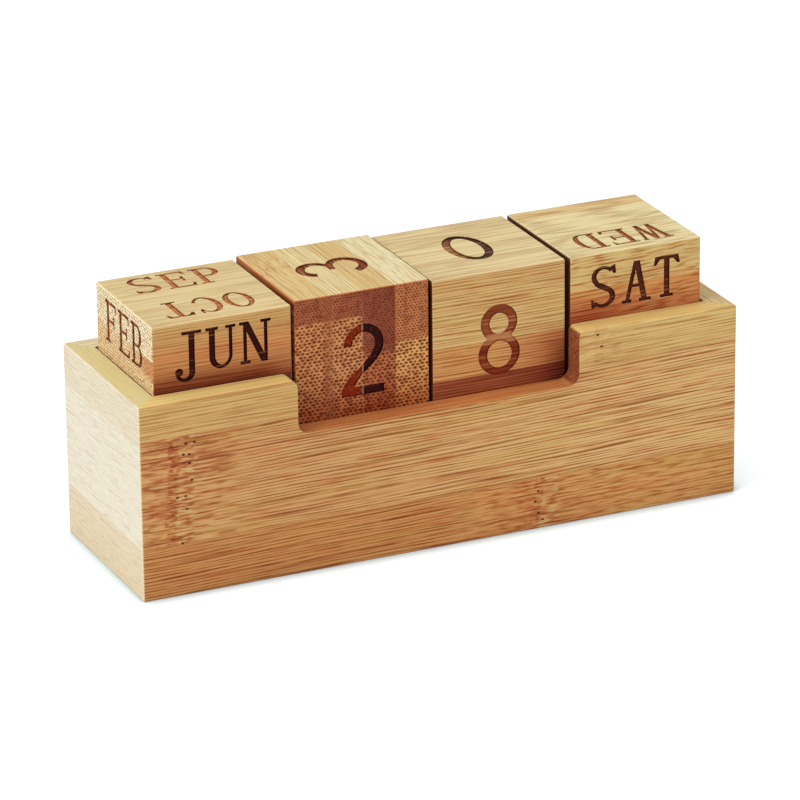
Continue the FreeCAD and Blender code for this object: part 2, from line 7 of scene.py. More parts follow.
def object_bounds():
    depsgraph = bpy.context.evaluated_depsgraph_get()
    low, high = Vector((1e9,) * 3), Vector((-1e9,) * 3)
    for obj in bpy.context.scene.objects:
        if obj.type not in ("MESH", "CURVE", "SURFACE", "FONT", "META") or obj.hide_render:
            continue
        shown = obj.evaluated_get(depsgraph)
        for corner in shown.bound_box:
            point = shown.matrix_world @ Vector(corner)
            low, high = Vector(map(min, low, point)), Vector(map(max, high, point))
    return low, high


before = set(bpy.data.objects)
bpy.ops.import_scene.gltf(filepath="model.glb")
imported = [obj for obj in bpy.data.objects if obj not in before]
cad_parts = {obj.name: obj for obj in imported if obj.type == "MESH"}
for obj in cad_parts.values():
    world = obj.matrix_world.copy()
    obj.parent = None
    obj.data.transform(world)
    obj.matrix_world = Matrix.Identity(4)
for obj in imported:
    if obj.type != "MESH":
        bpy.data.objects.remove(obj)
cad_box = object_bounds()

# ------------------------------------------------------------------ front board
# The front of the case: a 6 mm board of carbonised bamboo, glued up from three
# strips laid edge to edge, planed and mitred. The sawn notch shows the date.


def extent(name):
    """The lower corner of a piece of the CAD model, in metres, and its size in mm."""
    box = [Vector(corner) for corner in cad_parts[name].bound_box]
    return box[0], 1000 * (box[6] - box[0])


case_left, case_front, case_bottom = cad_box[0]
case_height = extent("left_end_board")[1].z
low_joint, high_joint = 13.5, 41.2  # where its three strips meet, in mm up from the desk
notch_pales = 44.0  # from here up the sawn notch turns as pale as the rim
glue_line = 0.1  # half the width over which one strip gives way to the next
endless = 400.0  # a length so great that a pattern hardly changes along it


def linear(code):
    """The linear colour of an sRGB hex code, as a shader socket takes it."""
    parts = [int(code[i:i + 2], 16) / 255 for i in (1, 3, 5)]
    parts = [p / 12.92 if p <= 0.04045 else ((p + 0.055) / 1.055) ** 2.4 for p in parts]
    return (*parts, 1.0)


def add(tree, kind, links=None, out=0, **settings):
    """Adds one node with its settings and its links or values; returns an output."""
    node = tree.nodes.new(kind)
    for name, value in settings.items():
        setattr(node, name, value)
    for socket, value in (links or {}).items():
        if isinstance(value, bpy.types.NodeSocket):
            tree.links.new(value, node.inputs[socket])
        else:
            node.inputs[socket].default_value = value
    return node.outputs[out] if node.outputs else node


def sheet_of_wood(name, corner, along, across):
    """A new material and where each point of it lies, in mm from a corner of the wood:
    along the grain, across the strips, and through them."""
    material = bpy.data.materials.new(name)
    material.use_nodes = True
    tree = material.node_tree
    tree.nodes.clear()
    here = add(tree, "ShaderNodeTexCoord", out="Object")
    placed = add(tree, "ShaderNodeMapping", {
        "Vector": here,
        "Location": [-1000 * v for v in corner],
        "Scale": (1000, 1000, 1000),
    })
    axes = dict(zip("XYZ", add(tree, "ShaderNodeSeparateXYZ", {0: placed}).node.outputs))
    through = [a for a in "XYZ" if a not in (along, across)][0]
    return material, tree, axes, [axes[along], axes[across], axes[through]]


def strips(tree, across, span, tones):
    """Tones of the strips glued side by side: (from, to, tones) in mm across them.
    The second output tells the strips apart."""
    share = add(tree, "ShaderNodeMath", {0: across, 1: span}, operation="DIVIDE")
    ramp = add(tree, "ShaderNodeValToRGB", {0: share}).node
    stops = ramp.color_ramp.elements
    tell_apart = 1 / 8
    for number, (low, high, *codes) in enumerate(tones):
        for step, code in enumerate(codes):
            at = low + glue_line + (high - low - 2 * glue_line) * step / max(len(codes) - 1, 1)
            stop = stops.new(min(max(at / span, 0.0), 1.0))
            stop.color = (*linear(code)[:3], number * tell_apart)
        if len(codes) == 1:
            stop = stops.new(min((high - glue_line) / span, 1.0))
            stop.color = (*linear(codes[0])[:3], number * tell_apart)
    stops.remove(stops[0])
    stops.remove(stops[-1])
    return ramp.outputs[0], ramp.outputs[1]


def stretched(tree, place, length, pitch, kind="ShaderNodeTexNoise", **settings):
    """A pattern drawn out along the grain, with this length and pitch in mm."""
    scaled = add(tree, "ShaderNodeVectorMath", {
        0: place, 1: (1 / length, 1 / pitch, 1 / pitch)}, operation="MULTIPLY")
    return add(tree, kind, {"Vector": scaled, "Scale": 1.0, **settings})


def between(tree, value, start, end, top=1.0, bottom=0.0):
    """Bottom where the value is at start, passing smoothly to top at end."""
    return add(tree, "ShaderNodeMapRange", {
        0: value, 1: start, 2: end, 3: bottom, 4: top}, interpolation_type="SMOOTHSTEP")


def both(tree, first, second):
    """The product of two shares: what lies in both."""
    return add(tree, "ShaderNodeMath", {0: first, 1: second}, operation="MULTIPLY")


def stain(tree, share, colour, other, blend="MULTIPLY"):
    """The colour with the other one laid over it by this share."""
    colour, other = (linear(c) if isinstance(c, str) else c for c in (colour, other))
    return add(tree, "ShaderNodeMix", {0: share, 6: colour, 7: other}, 2,
               data_type="RGBA", blend_type=blend)


def fibres(tree, place, tone, red, pale, broken=None, reach=1.0, brown=("#bc9a84", "#d8b8a2")):
    """Bamboo cut along the grain: fine straight lines of fibres side by side, browner
    bundles a few centimetres long, short reddish flushes, and a slow drift of tone. Near
    a knuckle the bundles break into dashes. Red and pale are the strengths of the darker
    and the lighter lines, and reach their length. Returns the colour and the bundles."""
    fibre_pitch = 0.82  # in mm; real fibres lie closer, but would be too fine to see
    bundle_pitch = 0.62
    crowded = 16.0  # how far crowding pushes the lines together, in radians
    sway = stretched(tree, place, 110.0, 26.0)
    sway = add(tree, "ShaderNodeMath", {0: sway, 1: 0.5}, operation="SUBTRACT")
    sway = add(tree, "ShaderNodeVectorMath", {0: (0.0, 1.8, 0.0), "Scale": sway},
               operation="SCALE")
    bent = add(tree, "ShaderNodeVectorMath", {0: place, 1: sway}, operation="ADD")
    bundles = stretched(tree, bent, 30.0 * reach, bundle_pitch, Detail=1.0, Roughness=0.5)
    across = add(tree, "ShaderNodeSeparateXYZ", {0: bent}, "Y")
    crowding = stretched(tree, bent, 60.0 * reach, 2.6, Detail=1.0)
    lines = add(tree, "ShaderNodeMath", {0: across, 1: 2 * math.pi / fibre_pitch},
                operation="MULTIPLY")
    lines = add(tree, "ShaderNodeMath", {0: crowding, 1: crowded, 2: lines},
                operation="MULTIPLY_ADD")
    lines = add(tree, "ShaderNodeMath", {0: lines}, operation="SINE")
    strong = between(tree, stretched(tree, bent, 9.0 * reach, 0.9), 0.34, 0.66, 1.0, 0.3)
    if broken is not None:
        strong = both(tree, strong, add(tree, "ShaderNodeMath", {0: broken, 1: -0.7, 2: 1.0},
                                        operation="MULTIPLY_ADD"))
    flush = stretched(tree, bent, 14.0 * reach, 1.0, Detail=2.0, Roughness=0.6)
    drift = stretched(tree, place, 60.0 * reach, 3.0, Detail=1.0)
    colour = stain(tree, between(tree, drift, 0.46, 0.66, 0.30 * red), tone, "#f8d8c8")
    colour = stain(tree, between(tree, drift, 0.46, 0.32, 0.40 * red), colour, "#f0f2c8")
    colour = stain(tree, between(tree, flush, 0.52, 0.68, 0.65 * red), colour, "#f4bcaa")
    colour = stain(tree, both(tree, strong, between(tree, lines, -0.2, 0.9, red)),
                   colour, brown[0])
    colour = stain(tree, between(tree, bundles, 0.52, 0.70, red), colour, brown[1])
    if broken is not None:
        dashes = stretched(tree, bent, 5.4, 0.54, Detail=1.0)
        colour = stain(tree, both(tree, broken, between(tree, dashes, 0.50, 0.68, 0.75)),
                       colour, "#cb9276")
        colour = stain(tree, both(tree, broken, between(tree, dashes, 0.48, 0.36, 0.85)),
                       colour, "#5a4e38", "SCREEN")
    colour = stain(tree, both(tree, strong, between(tree, lines, -0.2, -0.9, 0.7 * pale)),
                   colour, "#6a5c48", "SCREEN")
    return colour, bundles


def in_strip(tree, across, low, high):
    """1 between two joints of the board."""
    return both(tree, between(tree, across, low - glue_line, low + glue_line),
                between(tree, across, high + glue_line, high - glue_line))


def near_knuckles(tree, along, across, knuckles):
    """1 in the part of each strip round a knuckle of the cane, fading out both ways.
    A knuckle is (place along, strip from, strip to, reach left, reach right, strength of
    its ridge, pits), in mm."""
    zones = None
    for at, low, high, left, right, _, _ in knuckles:
        zone = both(tree, between(tree, along, at - left, at - 0.5 * left),
                    between(tree, along, at + right, at + 0.5 * right))
        zone = both(tree, zone, in_strip(tree, across, low, high))
        zones = zone if zones is None else add(
            tree, "ShaderNodeMath", {0: zone, 1: zones}, operation="MAXIMUM")
    return zones


def knuckle(tree, along, across, colour, at, low, high, strength, pits):
    """A knuckle of the cane crossing one strip: a wandering reddish ridge, red dashes
    and pale flecks beyond it that trail off along the grain, and small black pits where
    bundles dive into it."""
    wandering, slope, pit_radius = 5.0, 0.07, 0.40
    flat = add(tree, "ShaderNodeCombineXYZ", {0: along, 1: across})
    strip = in_strip(tree, across, low, high)
    wander = stretched(tree, flat, endless, 9.0)
    off = add(tree, "ShaderNodeMath", {0: wander, 1: -wandering, 2: along},
              operation="MULTIPLY_ADD")
    off = add(tree, "ShaderNodeMath", {0: across, 1: -slope, 2: off}, operation="MULTIPLY_ADD")
    off = add(tree, "ShaderNodeMath", {0: off, 1: at - 0.5 * wandering}, operation="SUBTRACT")
    short = stretched(tree, flat, 2.4, 0.6, Detail=1.0)
    middling = stretched(tree, flat, 3.6, 0.75, Detail=1.0)
    long = stretched(tree, flat, 13.0, 0.55, Detail=1.0)
    before, ridge, beyond, trail = (
        both(tree, strip, both(tree, between(tree, off, start, full),
                               between(tree, off, end, last_full)))
        for start, full, last_full, end in (
            (-10.0, -3.0, -0.5, 1.0), (-0.6, 0.2, 1.8, 3.0),
            (1.4, 2.6, 6.0, 7.4), (5.0, 7.5, 10.0, 20.0)))
    for zone, pattern, start, end, share, hue, blend in (
        (before, middling, 0.48, 0.60, 0.8, "#eec0aa", "MULTIPLY"),
        (trail, long, 0.50, 0.62, 0.7, "#d8a890", "MULTIPLY"),
        (beyond, middling, 0.46, 0.34, 0.7, "#dcc084", "MIX"),
        (beyond, middling, 0.50, 0.60, 0.9, "#dcaa8e", "MULTIPLY"),
        (ridge, short, 0.30, 0.55, 0.8, "#f2d2c4", "MULTIPLY"),
        (ridge, short, 0.50, 0.62, 0.9, "#d4a494", "MULTIPLY"),
    ):
        marked = between(tree, pattern, start, end, share * strength)
        colour = stain(tree, both(tree, zone, marked), colour, hue, blend)
    nearest = 20 * pit_radius
    for x, z in pits:
        gap = add(tree, "ShaderNodeVectorMath", {0: flat, 1: (x, z, 0.0)},
                  operation="SUBTRACT")
        gap = add(tree, "ShaderNodeVectorMath", {0: gap, 1: (0.8, 1.15, 0.0)},
                  operation="MULTIPLY")
        gap = add(tree, "ShaderNodeVectorMath", {0: gap}, 1, operation="LENGTH")
        nearest = add(tree, "ShaderNodeMath", {0: gap, 1: nearest}, operation="MINIMUM")
    return stain(tree, between(tree, nearest, pit_radius, 0.55 * pit_radius, 0.97), colour,
                 "#38140a", "MIX")


def end_grain(tree, place, tone, dots, pitch=1.0, size=0.4):
    """Bamboo cut across the grain: dark dots, each the end of one bundle of fibres, with
    this pitch in mm and a size that is a share of it."""
    cells = stretched(tree, place, endless, pitch, "ShaderNodeTexVoronoi", Randomness=0.8)
    speck = stretched(tree, place, endless, 0.45 * pitch, Detail=2.0)
    colour = stain(tree, between(tree, speck, 0.46, 0.66, 0.55), tone, dots, "MIX")
    return stain(tree, between(tree, cells, size, 0.6 * size, 0.85), colour, dots, "MIX")


def satin(material, tree, colour, relief, sheen=0.2, roughness=0.55):
    """Sanded bare bamboo: a soft satin sheen, with the fibres just felt."""
    stand_proud = 0.00003  # the sanded fibres are 0.03 mm high at most
    bump = add(tree, "ShaderNodeBump", {"Strength": 0.35, "Distance": stand_proud,
                                        "Height": relief})
    skin = add(tree, "ShaderNodeBsdfPrincipled", {
        "Base Color": colour, "Roughness": roughness, "IOR": 1.5,
        "Specular IOR Level": sheen, "Normal": bump})
    add(tree, "ShaderNodeOutputMaterial", {"Surface": skin})
    return material


def dress(name, material):
    """Makes this the only material of a piece of the CAD model."""
    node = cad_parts[name]
    node.data.materials.clear()
    node.data.materials.append(material)


def turned(tree, along):
    """How squarely the surface looks through the board, and how squarely along its grain:
    1 is full on, to either side."""
    normal = add(tree, "ShaderNodeTexCoord", out="Normal")
    normal = dict(zip("XYZ", add(tree, "ShaderNodeSeparateXYZ", {0: normal}).node.outputs))
    return [add(tree, "ShaderNodeMath", {0: normal[axis]}, operation="ABSOLUTE")
            for axis in ("Y" if along == "X" else "X", along)]


def board(name, finish, corner, along, tones, rim, red=1.0, pale=0.7, knuckles=(),
          sawn=None, lean=0.0, reach=1.0, darker_end=None, brown=("#bc9a84", "#d8b8a2"),
          calm=None, cut=("#d5ae9a", "#7a4428")):
    """One board of the case, dressed in its own piece of bamboo. Rim is the tone of its
    edges, sawn that of the notch. The grain leans by a slope. Darker_end gives where the
    upright face starts to darken, where it is darkest, and by what. Between the heights
    given by calm the grain is weaker; cut gives the ground and the dots of its end grain."""
    next_cane = 400.0  # so deep in the pattern that no two strips show the same fibres
    material, tree, _, (length, height, depth) = sheet_of_wood(finish, corner, along, "Z")
    tone, strip = strips(tree, height, case_height, tones)
    if darker_end:
        near, far, code = darker_end
        darker = both(tree, between(tree, length, near, far),
                      between(tree, height, high_joint - 0.2, high_joint + 0.2, 0.55, 1.0))
        tone = stain(tree, darker, tone, code)
    if sawn:
        rim = stain(tree, between(tree, height, notch_pales, notch_pales + 2.0), sawn, rim, "MIX")
    face_on, end_on = turned(tree, along)
    on_rim = between(tree, face_on, 0.35, 0.15)
    shift = add(tree, "ShaderNodeMath", {0: strip, 1: next_cane, 2: depth},
                operation="MULTIPLY_ADD")
    sloped = add(tree, "ShaderNodeMath", {0: length, 1: -lean, 2: height},
                 operation="MULTIPLY_ADD")
    sloped = add(tree, "ShaderNodeMath", {0: on_rim, 1: depth, 2: sloped},
                 operation="MULTIPLY_ADD")
    place = add(tree, "ShaderNodeCombineXYZ", {0: length, 1: sloped, 2: shift})
    ends = end_grain(tree, place, stain(tree, 1.0, tone, cut[0]), cut[1], 0.8)
    tone = stain(tree, on_rim, tone, rim, "MIX")
    broken = near_knuckles(tree, length, height, knuckles)
    colour, relief = fibres(tree, place, tone, red, pale, broken, reach, brown)
    if calm:
        colour = stain(tree, both(tree, in_strip(tree, height, *calm), 0.3), colour, tone, "MIX")
    for at, low, high, _, _, strength, pits in knuckles:
        colour = knuckle(tree, length, height, colour, at, low, high, strength, pits)
    colour = stain(tree, both(tree, on_rim, 0.35), colour, rim, "MIX")
    less_at_top = between(tree, height, notch_pales, notch_pales + 3.0, 0.3)
    end_on = add(tree, "ShaderNodeMath", {0: end_on, 1: less_at_top}, operation="SUBTRACT")
    shows_ends = both(tree, on_rim, between(tree, end_on, 0.25, 0.6))
    colour = stain(tree, shows_ends, colour, ends, "MIX")
    # A painted highlight along the eased corner where the board starts.
    corner_highlight = between(tree, length, 0.5, 0.15, 0.7)
    colour = stain(tree, corner_highlight, colour, "#f2e2b8", "MIX")
    dress(name, satin(material, tree, colour, relief))


# Carbonised bamboo, sanded and left bare: a warm satin tan with fine brown lines along
# the grain and a broken reddish ridge at each knuckle.
board("front_board", "carbonised_bamboo_front", (case_left, case_front, case_bottom), "X",
      [(0.0, low_joint, "#daa15f", "#e0ab66"), (low_joint, high_joint, "#eac17f"),
       (high_joint, case_height, "#e6c47d")],
      "#eccf83", sawn="#d68c50", lean=0.012, darker_end=(150.0, 30.0, "#f0e2db"),
      calm=(high_joint, case_height + 0.5), cut=("#b07a78", "#481a0c"),
      knuckles=[(5.3, low_joint, high_joint, 8.0, 30.0, 1.0,
                 [(11.3, 36.3), (12.8, 33.9), (13.3, 29.5), (11.6, 25.6), (9.5, 25.5),
                  (11.9, 22.3), (10.5, 13.6), (12.0, 39.1), (14.2, 39.1), (12.8, 36.2)]),
                (103.2, 0.0, low_joint, 26.0, 70.0, 0.8,
                 [(105.2, 10.0), (104.4, 7.4), (105.3, 4.2), (106.4, 2.3)]),
                (117.8, high_joint, case_height, 12.0, 14.0, 0.25,
                 [(121.5, 48.5), (122.5, 45.3)])])

# ------------------------------------------------------------------- back board
# The back of the case is the same 6 mm bamboo board as the front, but whole. It is
# glued into the mitres at both ends.

back_joints = 19.0, 38.5

board("back_board", "carbonised_bamboo_back",
      (case_left, extent("back_board")[0].y, case_bottom), "X",
      [(0.0, back_joints[0], "#e2b676"), (*back_joints, "#e7c184"),
       (back_joints[1], case_height, "#daa468")],
      "#ece0b6",
      knuckles=[(36.0, *back_joints, 20.0, 26.0, 1.0,
                 [(41.0, 35.0), (42.5, 31.0), (41.5, 26.0), (43.0, 22.0)]),
                (131.5, 0.0, back_joints[0], 20.0, 30.0, 0.8,
                 [(135.0, 16.0), (136.5, 11.0), (135.5, 5.0)])])

# -------------------------------------------------------------------- end boards
# Two short boards close the case. The left one is the paler, outer wood of the
# cane; the right one is sawn out at the bottom for the drawer.

# Pale bamboo, sanded and left bare: cream and nearly plain, its lines only just seen.
board("left_end_board", "pale_bamboo_left_end", (case_left, case_front, case_bottom), "Y",
      [(0.0, low_joint, "#e2d0af", "#e4d5b7"), (low_joint, 40.0, "#e9e3ce"),
       (40.0, case_height, "#e5dabf")],
      "#dcce94", red=0.3, pale=0.45, lean=-0.03, reach=0.25, brown=("#b8b0a4", "#d2c8bc"))

right_corner = extent("right_end_board")[0].x, case_front, case_bottom
board("right_end_board", "carbonised_bamboo_right_end", right_corner, "Y",
      [(0.0, low_joint, "#dba462"), (low_joint, high_joint, "#e4bb7a"),
       (high_joint, case_height, "#edcf8e")],
      "#e6cc94")

# ---------------------------------------------------------------- shelf and base
# A thin bamboo shelf carries the blocks, and a thin panel closes the underside.
# Both are glued into the boards and hidden while the blocks stand on the shelf.

board("block_shelf", "carbonised_bamboo_shelf", (-0.076, -0.0205, 0.0272), "X",
      [(0.0, case_height, "#e2b676")], "#e2b676")
board("base_panel", "carbonised_bamboo_base", (-0.077, -0.0215, 0.0), "X",
      [(0.0, case_height, "#e2b676")], "#e2b676")

# ------------------------------------------------------------------------ drawer
# A bamboo tray with a thick front and a bored finger hole. It slides on the base
# panel, and its front fills the opening in the right end.

# Its front is sawn from the wood of the right end, so their joints line up.
board("drawer_front", "carbonised_bamboo_drawer_front", right_corner, "Y",
      [(0.0, low_joint, "#dba462"), (low_joint, case_height, "#e4bb7a")], "#e6c48c")
for piece, corner, along, tone, edge in (
    ("left_side", (-0.07, -0.018, 0.0), "X", "#e2b676", "#eccc92"),
    ("right_side", (-0.07, 0.014, 0.0), "X", "#e2b676", "#eccc92"),
    ("back", (-0.072, -0.018, 0.0), "Y", "#e2b676", "#eccc92"),
    ("bottom", (-0.07, -0.018, 0.0), "X", "#e0b678", "#e0b678"),
):
    board("drawer_" + piece, "carbonised_bamboo_drawer_" + piece, corner, along,
          [(0.0, case_height, tone)], edge)

# ------------------------------------------------------------------ month block
# A cube of bamboo, sawn from glued strips and eased on every edge. The names of
# the months are cut into its faces and burnt; its end grain looks to the left.

cube = extent("month_block")[1].x


def face_tone(tree, axes, size, tones):
    """One tone for a whole face, or (axis, strips) for a face that shows its strips."""
    if isinstance(tones, str):
        return linear(tones)
    return strips(tree, axes[tones[0]], size["XYZ".index(tones[0])], tones[1])[0]


def toned_faces(tree, axes, size, tones, is_top, is_side, shaded_corners=()):
    """The tone of every face of a block, from those given for front, top and side. A corner
    of the front darkened with painted shade is (x where clean, x where full, z where clean,
    z where full, by what)."""
    tone, top, side = (face_tone(tree, axes, size, tones[k]) for k in ("front", "top", "side"))
    for x_clean, x_full, z_clean, z_full, code in shaded_corners:
        shade_share = both(tree, between(tree, axes["X"], x_clean, x_full),
                            between(tree, axes["Z"], z_clean, z_full))
        tone = stain(tree, shade_share, tone, code)
    tone = stain(tree, is_top, tone, top, "MIX")
    return stain(tree, is_side, tone, side, "MIX")


def sunk_below(tree, axes, size):
    """How deep each point lies below the sides, the front and the top, then below the
    nearest face, and how far it is from the nearest edge, in mm."""
    sunk = []
    for axis, wide in zip("XYZ", size):
        off = add(tree, "ShaderNodeMath", {0: axes[axis], 1: wide / 2}, operation="SUBTRACT")
        off = add(tree, "ShaderNodeMath", {0: off}, operation="ABSOLUTE")
        sunk.append(add(tree, "ShaderNodeMath", {0: wide / 2, 1: off}, operation="SUBTRACT"))
    nearer = add(tree, "ShaderNodeMath", {0: sunk[0], 1: sunk[1]}, operation="MINIMUM")
    farther = add(tree, "ShaderNodeMath", {0: sunk[0], 1: sunk[1]}, operation="MAXIMUM")
    below_face = add(tree, "ShaderNodeMath", {0: nearer, 1: sunk[2]}, operation="MINIMUM")
    from_edge = add(tree, "ShaderNodeMath", {0: farther, 1: sunk[2]}, operation="MINIMUM")
    from_edge = add(tree, "ShaderNodeMath", {0: nearer, 1: from_edge}, operation="MAXIMUM")
    return sunk, below_face, from_edge


def charred(tree, scorch, relief, wood):
    """The floor of a burnt letter: its scorched tone, darkest in the corners, partly by deeper
    char and partly by painted shade, with some of the bundles of fibres burnt deeper and
    some of the wood still showing."""
    soot_and_shade_reach = 0.0007
    scorch = stain(tree, between(tree, relief, 0.5, 0.66, 0.6), scorch, "#a08078")
    scorch = stain(tree, between(tree, relief, 0.40, 0.34, 0.3), scorch, wood, "MIX")
    # An AO node darkens the corners of the letter: painted shade over the char.
    shade = add(tree, "ShaderNodeAmbientOcclusion", {"Distance": soot_and_shade_reach}, "AO",
                samples=8, only_local=True)
    return stain(tree, between(tree, shade, 0.85, 0.45, 0.8), scorch, "#906050")


def block(name, finish, along, across, tones, char, cut_across, red=1.0, pale=0.6,
          knuckles=(), edge_wear_and_highlight="#f8e8bc", lean=0.0, shaded_corners=()):
    """One block, its faces (front, top, side) toned by their own strips, with worn edges
    that also carry a painted highlight, corners of the front darkened with painted shade,
    and its lettering burnt in. Char is the tone of the letters on each face, and cut_across
    draws the end grain."""
    clean_depth, burnt_depth, eased_edge, same_depth = 0.08, 0.22, 0.45, 0.02
    corner, size = extent(name)
    material, tree, axes, (length, width, depth) = sheet_of_wood(finish, corner, along, across)
    sunk, below_face, from_edge = sunk_below(tree, axes, size)
    is_side, is_front, is_top = (
        add(tree, "ShaderNodeMath", {0: deep, 1: below_face, 2: same_depth},
            operation="COMPARE")
        for deep in sunk)
    tone = toned_faces(tree, axes, size, tones, is_top, is_side, shaded_corners)
    sloped = add(tree, "ShaderNodeMath", {0: length, 1: -lean, 2: width},
                 operation="MULTIPLY_ADD")
    place = add(tree, "ShaderNodeCombineXYZ", {0: length, 1: sloped, 2: depth})
    broken = near_knuckles(tree, length, width, knuckles)
    colour, relief = fibres(tree, place, tone, red, pale, broken)
    colour = stain(tree, both(tree, is_top, 0.4), colour, tone, "MIX")
    for at, low, high, _, _, strength, pits in knuckles:
        if strength:
            colour = knuckle(tree, length, width, colour, at, low, high, strength, pits)
    ends = cut_across(tree, axes, place, tone)
    colour = stain(tree, {"X": is_side, "Y": is_front}[along], colour, ends, "MIX")
    # Pale eased edges at top and bottom: partly real wear, partly a painted highlight.
    rubbed_and_highlit = both(tree, between(tree, from_edge, eased_edge, 0.1, 0.35),
                  between(tree, sunk[2], 1.0, 0.5))
    colour = stain(tree, rubbed_and_highlit, colour, edge_wear_and_highlight, "MIX")
    scorch = toned_faces(tree, axes, size, char, is_top, is_side)
    scorch = charred(tree, scorch, relief, colour)
    burnt = between(tree, below_face, clean_depth, burnt_depth)
    colour = stain(tree, burnt, colour, scorch, "MIX")
    dress(name, satin(material, tree, colour, relief, sheen=0.1, roughness=0.6))


def bundle_ends(tree, x, z, wide, tall, half_wide, half_tall):
    """1 inside the lens-shaped end of each bundle of fibres; they lie in staggered rows,
    this far apart in mm, and half_wide and half_tall give their size."""
    leaning = add(tree, "ShaderNodeMath", {0: z, 1: 0.5 * wide / tall, 2: x},
                  operation="MULTIPLY_ADD")
    spot = add(tree, "ShaderNodeCombineXYZ", {0: leaning, 1: z})
    spot = add(tree, "ShaderNodeVectorMath", {0: spot, 1: (1 / wide, 1 / tall, 1.0)},
               operation="MULTIPLY")
    cell = add(tree, "ShaderNodeTexVoronoi", {"Vector": spot, "Scale": 1.0, "Randomness": 0.32},
               voronoi_dimensions="2D").node
    gap = add(tree, "ShaderNodeVectorMath", {0: spot, 1: cell.outputs["Position"]},
              operation="SUBTRACT")
    gap = add(tree, "ShaderNodeSeparateXYZ", {0: gap}).node.outputs
    upright = add(tree, "ShaderNodeMath", {0: gap[1], 1: -0.5, 2: gap[0]},
                  operation="MULTIPLY_ADD")
    gap = add(tree, "ShaderNodeCombineXYZ", {0: upright, 1: gap[1]})
    gap = add(tree, "ShaderNodeVectorMath", {0: gap, 1: (wide / half_wide, tall / half_tall, 0.0)},
              operation="MULTIPLY")
    gap = add(tree, "ShaderNodeVectorMath", {0: gap}, 1, operation="LENGTH")
    own = add(tree, "ShaderNodeSeparateXYZ", {0: cell.outputs["Color"]})
    swollen = between(tree, own, 0.0, 1.0, 1.2, 0.75)
    return between(tree, add(tree, "ShaderNodeMath", {0: gap, 1: swollen}, operation="DIVIDE"),
                   1.15, 0.8)


def pale_ends(tree, axes, place, tone):
    """End grain of the paler cane: small tan specks in a cream ground, browner at the
    lower front corner, where two strips of the heart wood meet."""
    y, z = axes["Y"], axes["Z"]
    corner = both(tree, between(tree, y, 12.0, 3.0), between(tree, z, 27.6, 26.8))
    corner = both(tree, corner, between(tree, z, 21.5, 23.5))
    colour = stain(tree, corner, tone, "#e6baa0")
    specks = bundle_ends(tree, y, z, 0.95, 0.8, 0.30, 0.22)
    mottle = stretched(tree, place, endless, 0.7, Detail=3.0)
    colour = stain(tree, between(tree, mottle, 0.48, 0.64, 0.9), colour, "#dcbc98")
    colour = stain(tree, both(tree, specks, 0.8), colour, "#a87648")
    return stain(tree, between(tree, mottle, 0.50, 0.38, 0.7), colour, "#50463a", "SCREEN")


# Burnt bamboo: toasted browner towards the case and darkened there further with painted
# shade, a touch duller than the bare boards, with its letters charred and a little of the
# grain still showing in them.
block("month_block", "burnt_bamboo_month", "X", "Z",
      # The front darkens towards the rim partly in its strips and partly as painted shade.
      {"front": ("Z", [(0.0, 19.0, "#743624"), (19.0, cube, "#9b4c2e", "#c48650", "#d9965c",
                                                "#d2a062", "#dab270")]),
       "top": ("Y", [(0.0, cube, "#e1cc96")]),
       "side": ("Z", [(0.0, 27.0, "#dec394", "#e8cfa2"), (27.0, cube, "#ede2bf")])},
      {"front": "#3c0c08", "top": "#c47a48", "side": ("Y", [(0.0, cube, "#8a4826", "#b87040")])},
      # The corner given last is painted shade, at the lower left of the front.
      cut_across=pale_ends, red=0.6, pale=0.5, shaded_corners=[(cube, 27.0, 25.0, 19.5, "#c7a89b")])

# ------------------------------------------------------------------- tens block
# The tens of the date, a block of four upright strips. It is turned so that its end
# grain looks forward: dense brown skin at the top of each strip, dotted wood below.

tens_size = extent("tens_block")[1]
first_joint, second_joint, third_joint = 9.0, 17.9, 26.5


